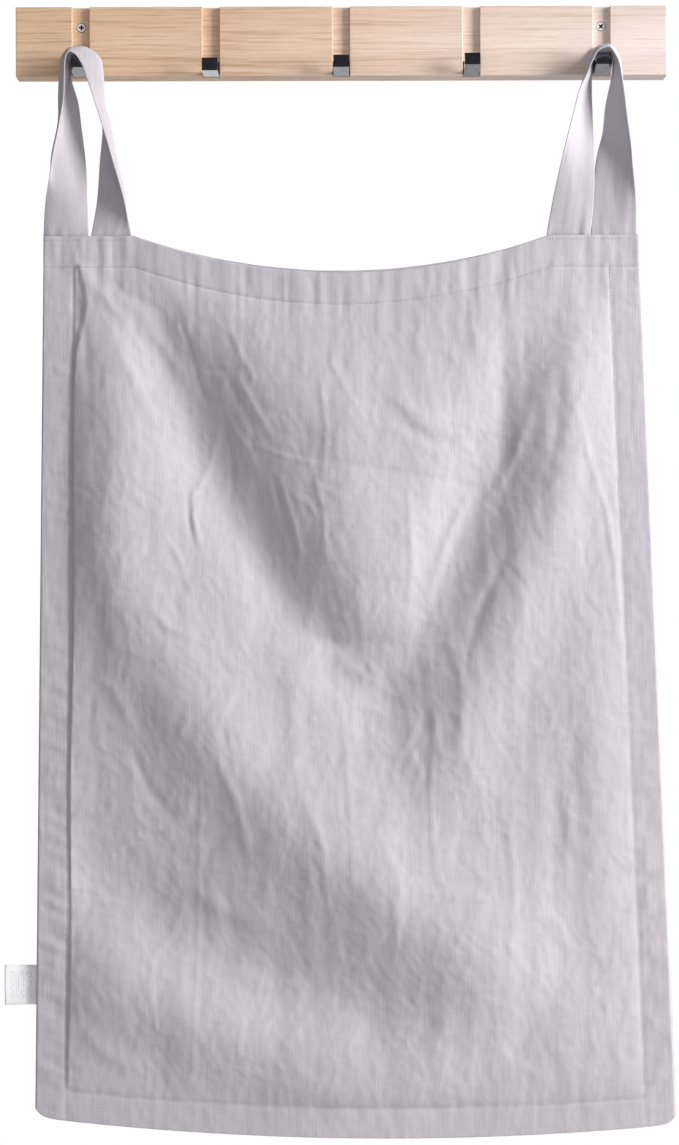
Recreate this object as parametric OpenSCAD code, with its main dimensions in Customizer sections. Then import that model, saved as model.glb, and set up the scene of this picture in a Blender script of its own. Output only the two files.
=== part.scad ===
// Linen apron hung by two strap loops on a bamboo wall rail with five flip-up hooks.
// Origin: centre of the rail's back face. +Z is up, the front faces -Y, the wall is at Y = 0.

/* [Rail] */
// Length of the rail
rail_l = 600; // [580:1:700]
// Height of the rail
rail_h = 64; // [60:1:80]
// Thickness of the rail, from the wall to its front face
rail_t = 18; // [17:0.5:24]
// Distance between neighbouring hooks
hook_pitch = 120; // [115:1:130]
// Width of the channel that each hook folds up into
channel_w = 16; // [16:0.5:20]
// Depth of the channels
channel_d = 4; // [4:0.5:5]
// Height of the wall screws above the rail's middle
screw_rise = 14; // [8:1:20]

/* [Hooks] */
// Distance that a hook reaches in front of the rail
hook_reach = 18; // [14:0.5:24]
// Height of a hook's upturned tip, from its underside
tip_h = 11.7; // [9:0.1:14]
// Thickness of a hook's bar
bar_t = 3.2; // [3:0.1:4]
// Thickness of a hook's tip
tip_t = 2.6; // [2:0.1:3.5]
// How far each hook is tipped up at rest, in degrees, from the left
hook_tilts = [9, 0, 8, 14, 14]; // [0:1:20]

/* [Apron] */
// Width of the apron along its top edge
top_w = 545; // [500:1:560]
// Width of the apron along its bottom edge
bottom_w = 588; // [540:1:600]
// Height of the apron from its bottom edge to the strap seams
apron_h = 828; // [700:1:900]
// How far the strap seams hang below the rail's middle
seam_drop = 181; // [170:1:200]
// How far the neckline dips between the straps
neck_dip = 34; // [10:1:60]
// Width of the stitched border at the sides and bottom
border_w = 28; // [20:1:40]
// Height of the facing behind the neckline
facing_h = 29; // [20:1:40]
// Width of the strap webbing
strap_w = 42; // [30:1:44]

/* [Hidden] */

$fn = 48;
eps = 0.01;

// Rail
rail_bottom = -rail_h / 2;
front_y = -rail_t;
floor_y = front_y + channel_d;
edge_cut = 0.6;
channel_cut = 0.4;
hook_xs = [for (n = [-2:2]) n * hook_pitch];
screw_xs = [hook_xs[0], hook_xs[4]];

// Wall screws, 4.5 x 50 countersunk
head_r = 4.4;
head_h = 3.1;
head_sink = 0.1;
core_r = 1.6;
thread_r = 2.25;
screw_hole_r = 2.5;
screw_l = 50;
point_l = 5;

// Hook brackets: a plate let into the channel floor, with two ears that hold the pin
hook_w = 14.4;
bracket_w = channel_w - 0.1;
ear_t = 0.6;
ear_h = 5.4;
plate_t = 1.2;
plate_h = 13.6;
plate_gap = 0.05;
under_gap = 0.4;
collar_r = 2.5;
collar_l = 3;
pin_r = 0.9;
pin_bore_r = 0.95;
pivot_in = 2;
pivot_y = front_y + pivot_in;
pivot_z = rail_bottom + under_gap + pivot_in;
knuckle_r = 1.9;
saddle_r = 3;

// Bracket screws, M3, put in from behind
m3_r = 1.5;
m3_hole_r = 1.75;
m3_head_r = 2.8;
m3_head_h = 1.8;
m3_bore_r = 3.2;
m3_bore_l = 4;
m3_z = rail_bottom + 9;

// Apron layers, front to back
apron_y = -26;
cloth_t = 2;
front_layer_y = apron_y - 3;
middle_layer_y = apron_y - 1;
back_layer_y = apron_y + 1;
seam_z = -seam_drop;
hem_z = seam_z - apron_h;
top_x = -0.5;
bottom_x = 11;
neck_half_w = 190;
back_rise = 2;
hem_low_x = 47;
hem_curve = 0.000185;
stitch_w = 0.8;
stitch_t = 0.4;
strap_t = 2;
inner_strap_w = [strap_w - 4, strap_w - 1];
strap_gap = 0.3;
outer_leg_dx = [-12.8, -9.7];
inner_leg_dx = [28.8, 32.3];
saddle_y = -24.2;

// Care label
label_w = 34;
label_h = 36;
label_t = 0.4;
label_x = -311;
label_z = -868;

// ---------- shared shapes ----------

// A shape turned about the Y axis: each point is [radius, distance along +Y]
module turned_y(outline) {
    rotate([-90, 0, 0]) rotate_extrude() polygon(outline);
}

module round_bar(r, y0, y1) {
    translate([0, y0, 0]) rotate([-90, 0, 0]) cylinder(r = r, h = y1 - y0);
}

// The cross in a screw head, cut along +Y from the head's face
module cross_recess(size, slot, depth) {
    for (turn = [0, 90])
        rotate([0, turn, 0])
            translate([-size / 2, -eps, -slot / 2]) cube([size, depth + eps, slot]);
}

// ---------- rail ----------

// The rail seen from above: a plank with five channels in its front
function channel_outline(x) = [
    [x - channel_w / 2 - channel_cut, front_y],
    [x - channel_w / 2, front_y + channel_cut],
    [x - channel_w / 2, floor_y],
    [x + channel_w / 2, floor_y],
    [x + channel_w / 2, front_y + channel_cut],
    [x + channel_w / 2 + channel_cut, front_y]
];

module plank() {
    half = rail_l / 2;
    intersection() {
        translate([0, 0, rail_bottom]) linear_extrude(rail_h) polygon(concat(
            [[half, 0], [-half, 0], [-half, front_y + edge_cut], [-half + edge_cut, front_y]],
            [for (x = hook_xs) each channel_outline(x)],
            [[half - edge_cut, front_y], [half, front_y + edge_cut]]
        ));
        rotate([90, 0, 90]) translate([0, 0, -half - 1]) linear_extrude(rail_l + 2) polygon([
            [0, rail_bottom], [0, -rail_bottom],
            [front_y + edge_cut, -rail_bottom], [front_y, -rail_bottom - edge_cut],
            [front_y, rail_bottom + edge_cut], [front_y + edge_cut, rail_bottom]
        ]);
    }
}

// The hole for a wall screw, countersunk in the channel floor
module screw_hole() {
    sink_r = head_r + 0.55;
    round_bar(screw_hole_r, floor_y - 1, 1);
    translate([0, floor_y - eps, 0])
        rotate([-90, 0, 0]) cylinder(r1 = sink_r, r2 = screw_hole_r, h = sink_r - screw_hole_r);
}

// The recess for a bracket's plate, and the stepped hole for its screw
module bracket_recess() {
    depth = plate_t + plate_gap;
    translate([-channel_w / 2, floor_y - eps, rail_bottom - 1])
        cube([channel_w, depth + eps, under_gap + plate_h + 1.1]);
    translate([0, 0, m3_z]) {
        round_bar(collar_r + 0.1, floor_y, floor_y + plate_t + collar_l + 0.2);
        round_bar(m3_hole_r, floor_y, 1);
        round_bar(m3_bore_r, -m3_bore_l, 1);
    }
}

module rail_board() {
    color("burlywood") difference() {
        plank();
        for (x = hook_xs) translate([x, 0, 0]) bracket_recess();
        for (x = screw_xs) translate([x, 0, screw_rise]) screw_hole();
    }
}

module wall_screw() {
    wall = -floor_y - head_sink;
    shank_end = screw_l - point_l;
    translate([0, floor_y + head_sink, 0]) difference() {
        turned_y([
            [0, 0], [head_r, 0], [head_r, 0.3], [core_r, head_h], [core_r, wall],
            [thread_r, wall], [thread_r, shank_end], [0.2, screw_l], [0, screw_l]
        ]);
        cross_recess(4.6, 0.9, 1.8);
    }
}

module wall_screws() {
    color("silver") for (x = screw_xs) translate([x, 0, screw_rise]) wall_screw();
}

// ---------- hook modules ----------

module ear_pair() {
    for (side = [0, 1]) mirror([side, 0, 0])
        translate([bracket_w / 2 - ear_t, front_y + 0.1, rail_bottom + under_gap])
            cube([ear_t, channel_d - 0.1 + eps, ear_h]);
}

module bracket() {
    color("dimgray") difference() {
        union() {
            translate([-bracket_w / 2, floor_y, rail_bottom + under_gap])
                cube([bracket_w, plate_t, plate_h]);
            ear_pair();
            translate([0, 0, m3_z]) round_bar(collar_r, floor_y, floor_y + plate_t + collar_l);
        }
        translate([0, 0, m3_z]) round_bar(m3_r, floor_y - 1, 0);
        translate([-channel_w / 2, pivot_y, pivot_z])
            rotate([0, 90, 0]) cylinder(r = pin_r, h = channel_w);
    }
}

module hinge_pin() {
    color("silver") translate([-bracket_w / 2, pivot_y, pivot_z])
        rotate([0, 90, 0]) cylinder(r = pin_r, h = bracket_w);
}

module bracket_screw() {
    translate([0, -m3_bore_l, m3_z]) {
        difference() {
            round_bar(m3_head_r, 0, m3_head_h);
            translate([0, m3_head_h, 0]) rotate([180, 0, 0]) cross_recess(3, 0.7, 1);
        }
        round_bar(m3_r, floor_y + m3_bore_l + 0.1, eps);
    }
}

module bracket_screws() {
    color("silver") for (x = hook_xs) translate([x, 0, 0]) bracket_screw();
}

// A hook seen from its side, about its pivot: [distance in front, height]
module hook_side() {
    reach = hook_reach + pivot_in;
    tip_x = reach - tip_t;
    bar_top = bar_t - pivot_in;
    difference() {
        union() {
            circle(r = knuckle_r);
            polygon([
                [-knuckle_r, 0], [-knuckle_r, -pivot_in], [reach, -pivot_in],
                [reach, tip_h - pivot_in], [tip_x, tip_h - pivot_in],
                [tip_x, bar_top + saddle_r], [tip_x - saddle_r, bar_top], [0, bar_top]
            ]);
        }
        translate([tip_x - saddle_r, bar_top + saddle_r]) circle(r = saddle_r);
        circle(r = pin_bore_r);
    }
}

// One hook at rest, tipped up about its pin
module hook(tilt) {
    color([0.08, 0.08, 0.09])
        translate([0, pivot_y, pivot_z])
            rotate([-tilt, 0, 0])
                translate([-hook_w / 2, 0, 0])
                    rotate([90, 0, 90]) mirror([1, 0, 0]) linear_extrude(hook_w) hook_side();
}

// ---------- straps ----------

// One cross-section of a strap: centre, half its width and half its thickness as vectors
function strap_ring(c, w, t) = [c - w - t, c + w - t, c + w + t, c - w + t];

// The strap from its outer seam, over the hook and down to its inner seam.
// X is measured from the hook, outwards on the left strap. n is 0 on the left strap, 1 on the right.
function strap_rings(n) = let (
    end_z = seam_z + strap_gap,
    flat = [0, strap_t / 2, 0],
    across = [0, -5.5, 0]
) [
    strap_ring([outer_leg_dx[n], apron_y, end_z], [strap_w / 2, 0, 0], flat),
    strap_ring([-10.6, apron_y, -120], [17, -5, 0], flat),
    strap_ring([-10, -26.4, -75], [9.5, -8, 0], [0.7, 1, 0]),
    strap_ring([-12.2, -26.4, -45], [3.8, -7.6, 0], [1.5, 0.8, 0]),
    strap_ring([-11.5, saddle_y, -30], across, [2, 0, -0.3]),
    strap_ring([-10.3, saddle_y, -21.2], across, [1.9, 0, -3.1]),
    strap_ring([-5.8, saddle_y, -16.1], across, [0.8, 0, -8.1]),
    strap_ring([5.8, saddle_y, -16.1], across, [-0.8, 0, -8.1]),
    strap_ring([10.3, saddle_y, -21.2], across, [-1.9, 0, -3.1]),
    strap_ring([11.5, saddle_y, -30], across, [-2, 0, -0.3]),
    strap_ring([14.5, -26, -45], [0, -9, 0], [-2, 0, 0]),
    strap_ring([20.5, -25.5, -75], [0, -17, 0], [-1, 0, 0]),
    strap_ring([26.5, apron_y, -120], [-12, -11, 0], [-0.7, 0.7, 0]),
    strap_ring([inner_leg_dx[n], apron_y, end_z], [-inner_strap_w[n] / 2, 0, 0], flat)
];

module strap(n) {
    rings = strap_rings(n);
    last = len(rings) - 1;
    points = [for (ring = rings) each ring];
    sides = [for (m = [0:last - 1]) for (k = [0:3]) let (
        a = 4 * m + k,
        b = 4 * m + (k + 1) % 4
    ) each [[a, b, a + 4], [b, b + 4, a + 4]]];
    ends = [[0, 2, 1], [0, 3, 2], [4 * last, 4 * last + 1, 4 * last + 2],
            [4 * last, 4 * last + 2, 4 * last + 3]];
    polyhedron(points, concat(ends, sides));
}

module strap_left() {
    color("gainsboro") translate([hook_xs[0], 0, 0]) strap(0);
}

module strap_right() {
    color("gainsboro") translate([hook_xs[4], 0, 0]) mirror([1, 0, 0]) strap(1);
}

// ---------- apron ----------

// Half-way lines and edges of the apron at a height
function side_x(side, z, inset) = let (
    f = (seam_z - z) / apron_h,
    mid = top_x + f * (bottom_x - top_x),
    half = (top_w + f * (bottom_w - top_w)) / 2 - inset
) mid + side * half;

// Height of the top edge and of the bottom edge
function top_z(x, rise) = let (
    across = min(1, abs(x) / neck_half_w)
) seam_z - (neck_dip - rise) * (1 - across * across);
function bottom_z(x) = hem_z + hem_curve * pow(x - hem_low_x, 2);

// The apron's outline, drawn in by inset at the sides and bottom, and by drop at the top
function apron_outline(inset, drop, rise) = let (
    steps = 24,
    top_left = side_x(-1, seam_z - drop, inset),
    top_right = side_x(1, seam_z - drop, inset),
    low_left = side_x(-1, hem_z, inset),
    low_right = side_x(1, hem_z, inset),
    top = [for (n = [0:steps]) let (
        x = top_left + n / steps * (top_right - top_left)
    ) [x, top_z(x, rise) - drop]],
    low = [for (n = [steps:-1:0]) let (
        x = low_left + n / steps * (low_right - low_left)
    ) [x, bottom_z(x) + inset]]
) concat(top, low);

// A flat layer of cloth: an outline in X and Z, from y0 to y0 + t
module layer(y0, t) {
    translate([0, y0 + t, 0]) rotate([90, 0, 0]) linear_extrude(t) children();
}

module front_panel() {
    color("thistle") layer(front_layer_y, cloth_t) polygon(apron_outline(0, 0, 0));
}

module back_panel() {
    color("lavender") layer(back_layer_y, cloth_t) polygon(apron_outline(0, 0, back_rise));
}

module border_facing() {
    color("plum") layer(middle_layer_y, cloth_t) difference() {
        polygon(apron_outline(0, facing_h, 0));
        polygon(apron_outline(border_w, facing_h - 1, 0));
    }
}

module top_facing() {
    color("violet") layer(middle_layer_y, cloth_t) difference() {
        polygon(apron_outline(0, 0, 0));
        polygon(apron_outline(-1, facing_h, 0));
    }
}

module border_stitching() {
    color("slategray") layer(front_layer_y - stitch_t, stitch_t) difference() {
        polygon(apron_outline(border_w, facing_h + 2, 0));
        polygon(apron_outline(border_w + stitch_w, facing_h + 1, 0));
    }
}

module top_stitching() {
    color("slategray") layer(front_layer_y - stitch_t, stitch_t) difference() {
        polygon(apron_outline(1, facing_h, 0));
        polygon(apron_outline(0, facing_h + stitch_w, 0));
    }
}

// A row of stitches across each of the four strap ends
module strap_stitching() {
    color("slategray") layer(front_layer_y - stitch_t, stitch_t)
        for (n = [0, 1]) for (leg = [[outer_leg_dx[n], strap_w], [inner_leg_dx[n], inner_strap_w[n]]])
            translate([(2 * n - 1) * (hook_xs[4] - leg[0]), seam_z - 4])
                square([leg[1] - 4, stitch_w], center = true);
}

module care_label() {
    color("white") layer(back_layer_y + cloth_t, label_t)
        translate([label_x, label_z - label_h / 2]) square([label_w + 8, label_h]);
}

rail_board();
wall_screws();
bracket_screws();
for (n = [1:5]) {
    translate([hook_xs[n - 1], 0, 0]) bracket();
    translate([hook_xs[n - 1], 0, 0]) hinge_pin();
    translate([hook_xs[n - 1], 0, 0]) hook(hook_tilts[n - 1]);
}
strap_left();
strap_right();
front_panel();
back_panel();
border_facing();
top_facing();
border_stitching();
top_stitching();
strap_stitching();
care_label();
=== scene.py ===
import math

import bpy
import numpy as np
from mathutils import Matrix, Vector


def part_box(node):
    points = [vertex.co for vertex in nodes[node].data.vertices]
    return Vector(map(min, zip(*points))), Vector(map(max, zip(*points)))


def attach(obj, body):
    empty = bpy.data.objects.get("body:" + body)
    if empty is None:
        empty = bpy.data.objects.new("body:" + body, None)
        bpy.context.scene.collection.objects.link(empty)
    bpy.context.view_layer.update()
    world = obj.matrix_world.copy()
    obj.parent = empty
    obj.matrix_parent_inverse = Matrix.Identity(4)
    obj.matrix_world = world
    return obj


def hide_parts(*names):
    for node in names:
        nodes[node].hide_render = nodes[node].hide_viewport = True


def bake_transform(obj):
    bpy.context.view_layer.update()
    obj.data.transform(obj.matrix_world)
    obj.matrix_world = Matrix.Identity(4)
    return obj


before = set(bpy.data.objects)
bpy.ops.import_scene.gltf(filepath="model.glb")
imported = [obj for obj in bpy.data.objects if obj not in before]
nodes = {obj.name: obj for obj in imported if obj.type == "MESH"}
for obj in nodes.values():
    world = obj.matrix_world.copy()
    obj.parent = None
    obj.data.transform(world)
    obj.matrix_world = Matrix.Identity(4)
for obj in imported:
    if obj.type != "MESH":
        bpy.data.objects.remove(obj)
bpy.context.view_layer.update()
MM = 0.001

# ---------- places taken from the frame ----------

rail_lo, rail_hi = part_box("rail_board")
panel_lo, panel_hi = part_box("front_panel")
back_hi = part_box("back_panel")[1]
facing_lo, facing_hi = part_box("border_facing")
label_lo, label_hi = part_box("care_label")
left_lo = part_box("strap_left")[0]
right_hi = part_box("strap_right")[1]
hook_x = [sum((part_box(f"hook_{n}")[k].x for k in (0, 1))) / 2 for n in range(1, 6)]

SEAM_Z = panel_hi.z
HEM_Z = panel_lo.z
APRON_H = SEAM_Z - HEM_Z
TOP_LEFT, TOP_RIGHT = left_lo.x + 0.5 * MM, right_hi.x + 1.5 * MM
FRONT_Y = panel_lo.y + 0.6 * MM
NECK_DIP = 34 * MM  # how far the neckline hangs at its middle
NECK_HALF = 190 * MM  # half the width of that dip
HEM_LOW_X = 47 * MM  # X where the bottom edge is lowest
HEM_CURVE = 0.185
CORNER_RISE, CORNER_REACH = 9 * MM, 5 * MM
HEM_W = 28 * MM  # side and bottom borders, edge to stitch line
TOP_HEM = 29 * MM  # top border
EDGE_ROLL = 1.5 * MM
CLOTH, TURNING, RIBBON, SATIN = 0.7 * MM, 0.8 * MM, 1.1 * MM, 0.3 * MM  # thicknesses
STITCH = (2.6 * MM, 0.9 * MM, 0.24 * MM)  # length, gap, radius
SEAM_STITCH = (2.4 * MM, 0.8 * MM, 0.22 * MM)
FLOOR_Z = -1.30


def side_x(side, z):
    """X of the apron's left (-1) or right (1) edge at a height."""
    f = (SEAM_Z - z) / APRON_H
    ends = (TOP_LEFT, panel_lo.x) if side < 0 else (TOP_RIGHT, panel_hi.x)
    return ends[0] + f * (ends[1] - ends[0])


def top_z(x, rise=0.0):
    """Height of the neckline."""
    across = np.minimum(1, np.abs(x) / NECK_HALF)
    return SEAM_Z - (NECK_DIP - rise) * (1 - across**2)


def bottom_z(x):
    """Height of the bottom edge, with rounded corners."""
    edge = np.minimum(x - panel_lo.x, panel_hi.x - x)
    corner = CORNER_RISE * np.exp(-np.maximum(edge, 0) / CORNER_REACH)
    return HEM_Z + HEM_CURVE * (x - HEM_LOW_X) ** 2 + corner


# ---------- smooth noise and folds ----------


def hashed(i, j, seed):
    """A repeatable number from 0 to 1 for each lattice point."""
    v = np.sin(i * 127.1 + j * 311.7 + seed * 74.7) * 43758.5453
    return v - np.floor(v)


def noise(x, z, sx, sz, seed):
    """Value noise from -1 to 1 whose cells are sx wide and sz tall."""
    a, b = x / sx, z / sz
    i, j = np.floor(a), np.floor(b)
    u, v = a - i, b - j
    u, v = u * u * u * (u * (6 * u - 15) + 10), v * v * v * (v * (6 * v - 15) + 10)
    low = hashed(i, j, seed) * (1 - u) + hashed(i + 1, j, seed) * u
    high = hashed(i, j + 1, seed) * (1 - u) + hashed(i + 1, j + 1, seed) * u
    return 2 * (low * (1 - v) + high * v) - 1


def ridged(x, z, sx, sz, seed):
    """Sharp-crested noise from 0 to 1, as creased linen has."""
    return 1 - np.abs(noise(x, z, sx, sz, seed)) ** 0.8


def fold(x, z, path, width, height, sharp=2.0):
    """A fold along a path of (x, z) points in mm. It fades out at both ends."""
    p = np.array(path, float) * MM
    lengths = np.linalg.norm(np.diff(p, axis=0), axis=1)
    along = np.concatenate([[0], np.cumsum(lengths)])
    best = np.full(x.shape, 1e9)
    at = np.zeros(x.shape)
    for n in range(len(lengths)):
        d = p[n + 1] - p[n]
        t = np.clip(((x - p[n, 0]) * d[0] + (z - p[n, 1]) * d[1]) / (d @ d), 0, 1)
        dist = np.hypot(x - p[n, 0] - t * d[0], z - p[n, 1] - t * d[1])
        near = dist < best
        best = np.where(near, dist, best)
        at = np.where(near, along[n] + t * lengths[n], at)
    s = at / along[-1]
    fade = np.sin(math.pi * np.clip(s, 0.02, 0.98)) ** 0.6
    return height * MM * fade * np.exp(-((best / (width * MM)) ** sharp))


# Broad folds of the hanging cloth: path, half width, height
DRAPE = [
    ([(-214, -205), (-214, -300), (-212, -378), (-213, -424), (-210, -469), (-194, -515), (-168, -561),
      (-140, -607), (-110, -652), (-71, -698), (-15, -744), (50, -790), (110, -835), (190, -890)], 48, 12.5),
    ([(-206, -215), (-192, -250), (-169, -286), (-142, -332), (-126, -378), (-100, -424), (-74, -469),
      (-46, -515), (-12, -555), (22, -600), (32, -660)], 35, -13.0),
    ([(-24, -215), (-14, -332), (-2, -378), (6, -424), (16, -480), (10, -560)], 62, 10.5),
    ([(196, -215), (186, -250), (172, -286), (155, -315), (142, -350), (136, -395), (124, -424),
      (104, -469), (84, -515), (62, -561), (52, -607), (44, -665)], 31, -8.5),
    ([(226, -215), (212, -262), (210, -300), (210, -340), (205, -378), (194, -424), (178, -469),
      (162, -515), (146, -561), (125, -607), (112, -652), (100, -740)], 34, 8.0),
    ([(90, -195), (66, -260), (40, -340), (30, -400)], 120, 8.0),
    ([(-90, -690), (-15, -744), (50, -790), (110, -835), (190, -890)], 92, 9.0),
    ([(-262, -836), (-192, -872), (-136, -898), (-50, -922), (42, -941), (130, -958)], 44, 11.5),
    ([(-244, -705), (-232, -762), (-152, -826), (-42, -880), (90, -930)], 50, -10.5),
    ([(-104, -205), (-86, -262), (-70, -320), (-62, -370)], 42, 7.0),
    ([(-174, -216), (-168, -270), (-150, -322)], 22, -4.5),
    ([(120, -740), (126, -850), (120, -960)], 60, 3.0),
    ([(236, -430), (232, -620), (238, -840)], 22, 2.4),
]

# Creases pressed into the linen: path, half width, height
CREASES = [
    ([(-166, -180), (-160, -212), (-146, -244)], 30, 5.0),
    ([(-90, -955), (0, -978), (90, -990)], 24, 4.0),
    ([(-248, -196), (-224, -232), (-196, -262)], 5, 1.6),
    ([(-236, -204), (-206, -228), (-168, -250)], 5, -1.3),
    ([(-250, -214), (-238, -262), (-232, -318)], 5, -2.0),
    ([(-196, -236), (-168, -276), (-138, -322)], 7, 1.5),
    ([(-216, -262), (-190, -312), (-172, -352)], 6, 1.2),
    ([(-104, -262), (-92, -292), (-78, -318)], 3, 0.9),
    ([(-150, -250), (-138, -290), (-128, -330)], 3, -0.8),
    ([(-136, -300), (-108, -306), (-78, -304)], 2.6, -0.6),
    ([(-112, -300), (-96, -330), (-78, -362)], 3.4, -0.8),
    ([(-96, -310), (-76, -346), (-62, -372)], 3, 0.8),
    ([(-110, -352), (-126, -400), (-146, -436)], 3, 0.7),
    ([(-108, -356), (-100, -392), (-104, -430)], 2.6, -0.7),
    ([(-104, -352), (-84, -378), (-76, -402)], 2.8, 0.7),
    ([(-142, -412), (-141, -440), (-137, -462)], 2.2, -1.1),
    ([(-137, -410), (-136, -440), (-131, -466)], 2.4, 0.9),
    ([(-63, -404), (-54, -436), (-42, -480)], 2.4, -1.2),
    ([(-57, -400), (-48, -434), (-36, -476)], 2.6, 0.9),
    ([(-84, -372), (-52, -384), (-20, -392)], 2.6, 0.7),
    ([(-30, -386), (-18, -430), (-14, -486)], 3, 0.8),
    ([(-164, -452), (-148, -478), (-140, -506)], 3, 0.7),
    ([(-176, -520), (-158, -540), (-136, -548)], 4, 0.9),
    ([(-30, -548), (6, -560), (48, -548)], 7, -1.8),
    ([(-10, -572), (20, -584), (60, -570)], 9, 1.6),
    ([(40, -318), (72, -352), (112, -366)], 8, 1.1),
    ([(52, -352), (86, -372), (128, -370)], 6, -1.1),
    ([(122, -232), (118, -258), (124, -292)], 4, 1.2),
    ([(150, -198), (154, -222), (152, -244)], 2.6, 1.4),
    ([(157, -200), (160, -224), (158, -240)], 2.2, -1.2),
    ([(176, -330), (158, -384), (132, -430)], 5, 1.2),
    ([(200, -300), (196, -362), (184, -410)], 6, -1.0),
    ([(120, -410), (96, -462), (76, -520)], 5, 1.3),
    ([(150, -470), (128, -520), (112, -566)], 5, -1.2),
    ([(96, -540), (112, -600), (104, -660)], 6, 1.0),
    ([(-200, -640), (-176, -690), (-150, -720)], 5, -1.0),
    ([(-120, -650), (-96, -700), (-86, -752)], 5, 1.0),
    ([(-40, -690), (-20, -730), (-16, -780)], 5, 1.0),
    ([(-230, -580), (-206, -600), (-190, -640)], 6, 0.9),
    ([(-150, -770), (-110, -800), (-66, -812)], 8, 1.2),
    ([(-110, -850), (-70, -870), (-24, -866)], 7, 0.9),
    ([(30, -720), (50, -770), (48, -830)], 5, 0.8),
    ([(150, -700), (156, -780), (150, -860)], 5, 0.8),
    ([(200, -640), (206, -720), (200, -800)], 5, 0.7),
    ([(-242, -904), (-216, -930), (-180, -948)], 8, 1.3),
    ([(-133, -600), (-130, -700), (-134, -850), (-141, -1004)], 2.2, 0.42),
    ([(146, -216), (147, -290), (148, -345), (146, -410)], 8, -1.5),
    ([(217, -360), (242, -435), (250, -485), (254, -540)], 3, 1.0),
    ([(252, -184), (256, -214), (254, -250)], 14, 2.6),
    ([(0, -620), (6, -700), (10, -780)], 3, 0.6),
    ([(86, -600), (80, -690), (84, -770)], 3, 0.6),
    ([(-22, -300), (-14, -360), (-20, -420)], 3, 0.7),
    ([(60, -420), (64, -480), (58, -540)], 4, 0.8),
]


def edges(x, z):
    """Distances of points from the apron's left, right, bottom and top edges."""
    return x - side_x(-1, z), side_x(1, z) - x, z - bottom_z(x), top_z(x) - z


def sewn_in(d, line, roll):
    """How far the cloth has risen past a stitch line."""
    return 1 - np.exp(-np.maximum(0, d - line) / roll)


def puckers(along, away, step, reach, seed):
    """Small gathers that cross a stitch line."""
    n = noise(along, along * 0 + seed, step, 1, seed) + 0.6 * noise(
        along, along * 0 + seed, step * 0.45, 1, seed + 3)
    return n * np.exp(-np.abs(away) / reach)


def groove_at(z):
    """Distance from the left edge to the fold that stands over its stitch line."""
    wander = 1.6 + 8.0 * np.exp(-(((z + 0.243) / 0.030) ** 2)) + 1.2 * np.sin(z * 21.0)
    return HEM_W + wander * MM


def front_height(x, z):
    """How far the front of the apron stands out from its flat hem, in metres."""
    left, right, low, top = edges(x, z)
    inner = (sewn_in(left, HEM_W, 17 * MM) * sewn_in(right, HEM_W, 10 * MM)
             * sewn_in(low, HEM_W, 14 * MM) * sewn_in(top, TOP_HEM, 44 * MM))
    h = 2.2 * MM * inner
    for path, width, height in DRAPE:
        h += fold(x, z, path, width, height) * inner
    for path, width, height in CREASES:
        h += fold(x, z, path, width, height) * (0.25 + 0.75 * inner)
    wave = noise(x, z, 34 * MM, 190 * MM, 5) + 0.5 * noise(x, z, 15 * MM, 90 * MM, 8)
    h += 0.8 * MM * wave * inner
    warp_x = x + 7 * MM * noise(x, z, 31 * MM, 37 * MM, 13)
    warp_z = z + 9 * MM * noise(x, z, 29 * MM, 33 * MM, 19)
    crumple = (ridged(warp_x + 0.2 * z, warp_z - 0.3 * x, 26 * MM, 44 * MM, 11)
               + 0.7 * ridged(warp_x - 0.5 * z, warp_z + 0.4 * x, 15 * MM, 27 * MM, 17)
               + 0.45 * ridged(warp_x + 0.6 * z, warp_z - 0.2 * x, 8 * MM, 15 * MM, 27))
    h += 0.62 * MM * (crumple - 1.1) * (0.3 + 0.7 * inner)
    h += 0.18 * MM * noise(warp_x, warp_z, 5 * MM, 9 * MM, 23)
    h += 0.10 * MM * noise(x, z, 3 * MM, 22 * MM, 29)
    below_top = top > TOP_HEM * 0.9
    past = left - groove_at(z)
    groove = 1.7 * MM * below_top * sewn_in(low, HEM_W, 5 * MM) * (1 - 0.5 * (z < -0.78))
    groove = groove * np.exp(-np.maximum(past, 0) / (15 * MM))
    h += groove / (1 + np.exp(-np.clip(past / (0.4 * MM), -40, 40)))
    h += 1.6 * MM * np.clip(1 - top / TOP_HEM, 0, 1) * (top > -1)
    for d, s, seed in ((left, z, 41), (right, z, 43)):
        h -= 0.55 * MM * np.exp(-(((d - HEM_W) / (1.3 * MM)) ** 2)) * below_top
        h += 0.34 * MM * puckers(s, d - HEM_W, 11 * MM, 9 * MM, seed) * below_top
        rough = 0.35 + 0.9 / (1 + np.exp((z + 0.66) / 0.04))
        h += rough * MM * puckers(s + 0.3 * d, d - 0.6 * HEM_W, 17 * MM, 12 * MM, seed + 20)
    h -= 0.55 * MM * np.exp(-(((low - HEM_W) / (1.3 * MM)) ** 2)) * (left > HEM_W) * (right > HEM_W)
    h += 0.34 * MM * puckers(x, low - HEM_W, 12 * MM, 10 * MM, 47)
    h -= 0.45 * MM * np.exp(-(((top - TOP_HEM) / (1.2 * MM)) ** 2))
    h += 0.55 * MM * puckers(x, top - TOP_HEM, 9 * MM, 22 * MM, 51)
    h += 0.7 * MM * puckers(x, top - 0.4 * TOP_HEM, 15 * MM, 30 * MM, 53)
    return h


def rolled(d, radius):
    """How far a folded edge turns back, close to the edge."""
    t = np.clip(1 - d / radius, 0, 1)
    return radius * (1 - np.sqrt(1 - t * t))


def front_y(x, z):
    """Y of the apron's front surface."""
    left, right, low, top = edges(x, z)
    edge = np.maximum(np.minimum(np.minimum(left, right), np.minimum(low, top)), 0)
    return FRONT_Y - front_height(x, z) + rolled(edge, EDGE_ROLL)


# ---------- building meshes ----------


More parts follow.
